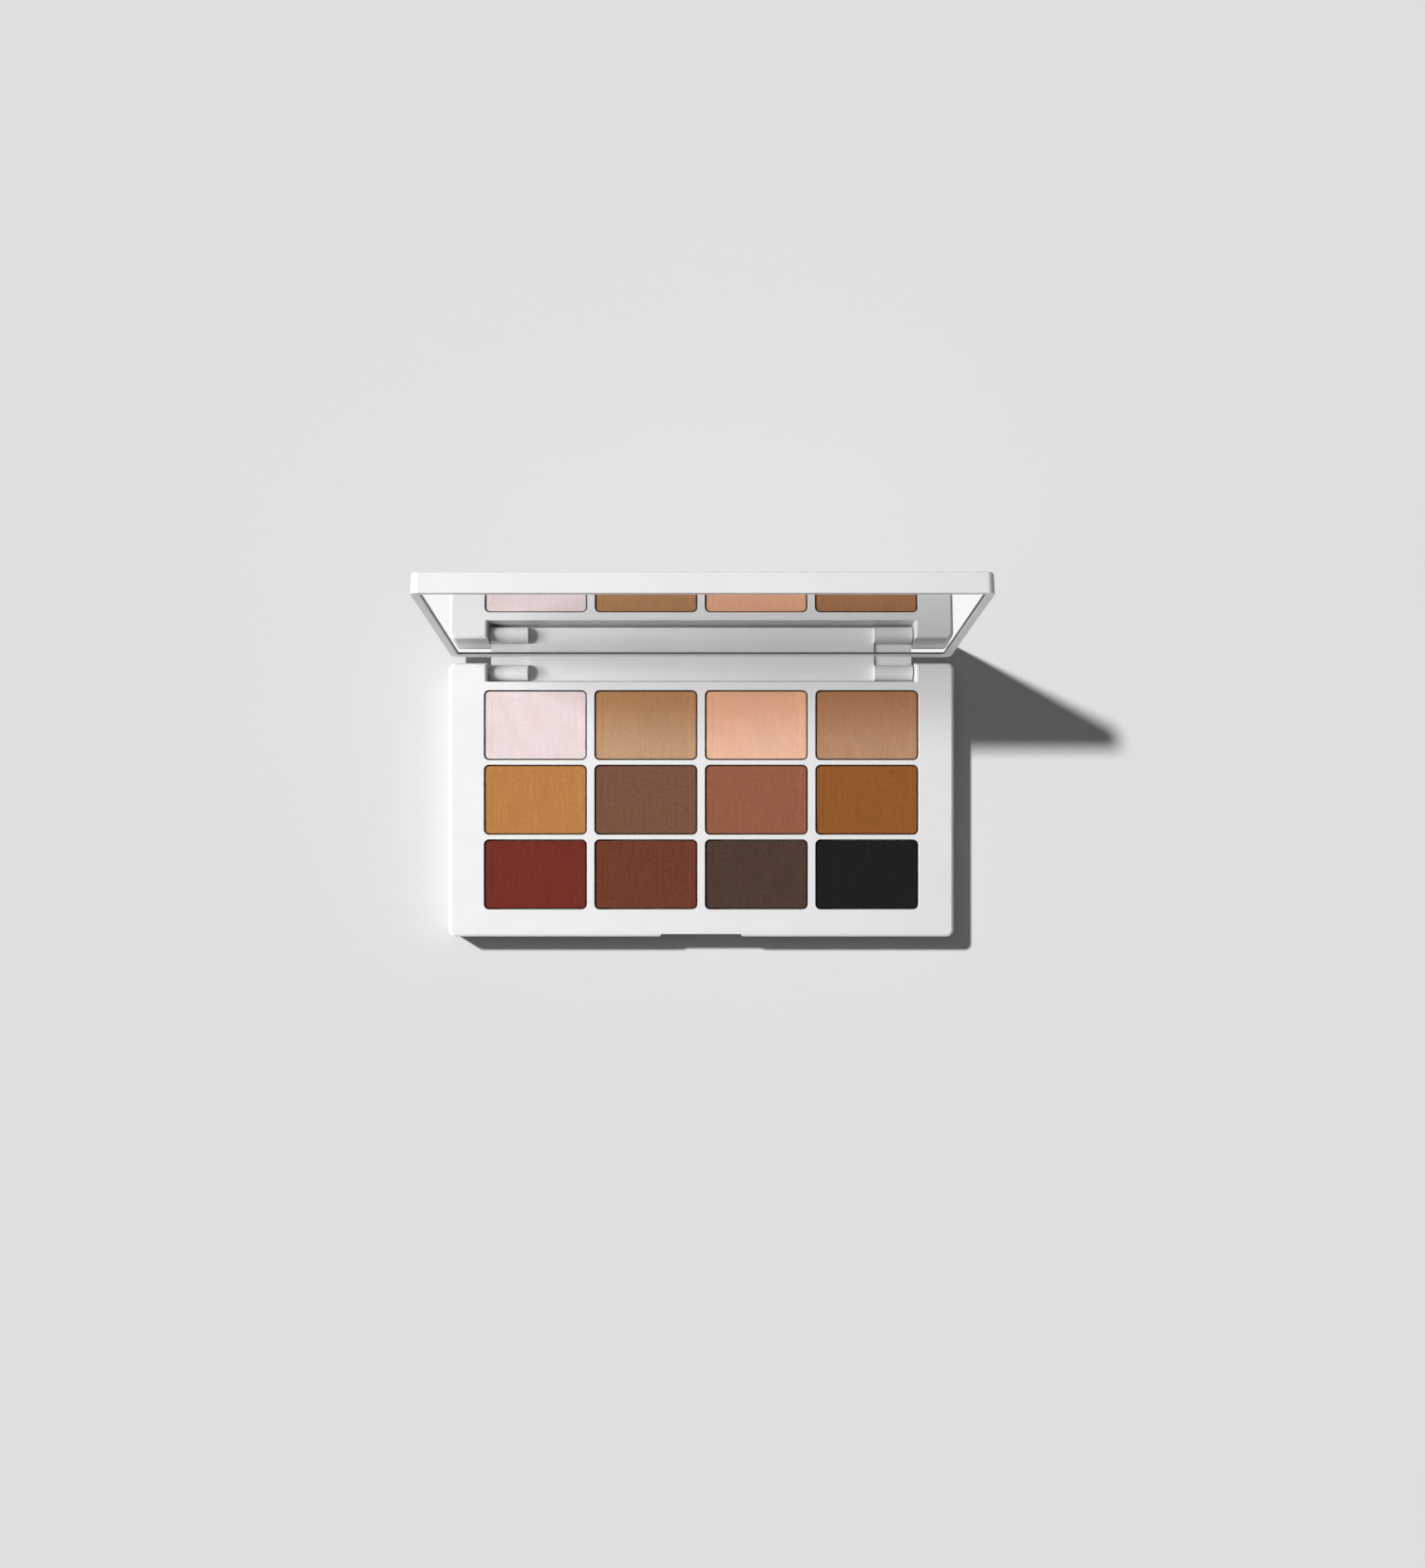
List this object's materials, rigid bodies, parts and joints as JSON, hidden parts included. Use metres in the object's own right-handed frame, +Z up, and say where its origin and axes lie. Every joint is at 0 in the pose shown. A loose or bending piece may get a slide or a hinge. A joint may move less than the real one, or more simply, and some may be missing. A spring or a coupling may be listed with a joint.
{
  "type": "eyeshadow palette",
  "caption": "Hinged rectangular eyeshadow palette with a grid of pressed powders in metal pans, a mirror in its lid and a magnetic closure.",
  "frame": {"origin": "centre of the base's underside, where the palette rests on a table", "axes": "+X to the right along the hinge, the longest side; +Y from the thumb notch to the hinge; +Z up"},
  "size_m": [0.15, 0.0953, 0.0853],
  "materials": {
    "case_plastic": "off-white moulded plastic, satin",
    "mirror": "silvered glass with a ground edge",
    "tape": "white foam tape",
    "pan_aluminium": "plain pressed sheet",
    "glue": "clear set adhesive",
    "pin_steel": "drawn wire",
    "magnet_nickel": "nickel plated",
    "label": "blank paper-like film",
    "powder_light_pink": "pressed powder, matte",
    "powder_tan": "pressed powder, matte",
    "powder_peach": "pressed powder, matte",
    "powder_sienna": "pressed powder, matte",
    "powder_caramel": "pressed powder, matte",
    "powder_taupe": "pressed powder, matte",
    "powder_rosewood": "pressed powder, matte",
    "powder_chestnut": "pressed powder, matte",
    "powder_oxblood": "pressed powder, matte",
    "powder_redwood": "pressed powder, matte",
    "powder_dark_brown": "pressed powder, matte",
    "powder_black": "pressed powder, matte"
  },
  "bodies": {
    "base": {"base_deck": "case_plastic", "base_magnet_left": "magnet_nickel", "base_magnet_right": "magnet_nickel", "bottom_label": "label", "bottom_plate": "case_plastic", "hinge_pin_left": "pin_steel", "hinge_pin_right": "pin_steel", "pan_front_1": "pan_aluminium", "pan_front_2": "pan_aluminium", "pan_front_3": "pan_aluminium", "pan_front_4": "pan_aluminium", "pan_glue": "glue", "pan_middle_1": "pan_aluminium", "pan_middle_2": "pan_aluminium", "pan_middle_3": "pan_aluminium", "pan_middle_4": "pan_aluminium", "pan_rear_1": "pan_aluminium", "pan_rear_2": "pan_aluminium", "pan_rear_3": "pan_aluminium", "pan_rear_4": "pan_aluminium", "powder_black": "powder_black", "powder_caramel": "powder_caramel", "powder_chestnut": "powder_chestnut", "powder_dark_brown": "powder_dark_brown", "powder_light_pink": "powder_light_pink", "powder_oxblood": "powder_oxblood", "powder_peach": "powder_peach", "powder_redwood": "powder_redwood", "powder_rosewood": "powder_rosewood", "powder_sienna": "powder_sienna", "powder_tan": "powder_tan", "powder_taupe": "powder_taupe"},
    "lid": {"lid_shell": "case_plastic", "mirror_glass": "mirror", "mirror_tape": "tape", "lid_magnet_left": "magnet_nickel", "lid_magnet_right": "magnet_nickel"}
  },
  "joints": [
    {"name": "lid_hinge", "type": "hinge", "parent": "base", "child": "lid", "pos_m": [0, 0.0382, 0.00705], "axis": [1, 0, 0], "range_deg": [0, 94]}
  ]
}
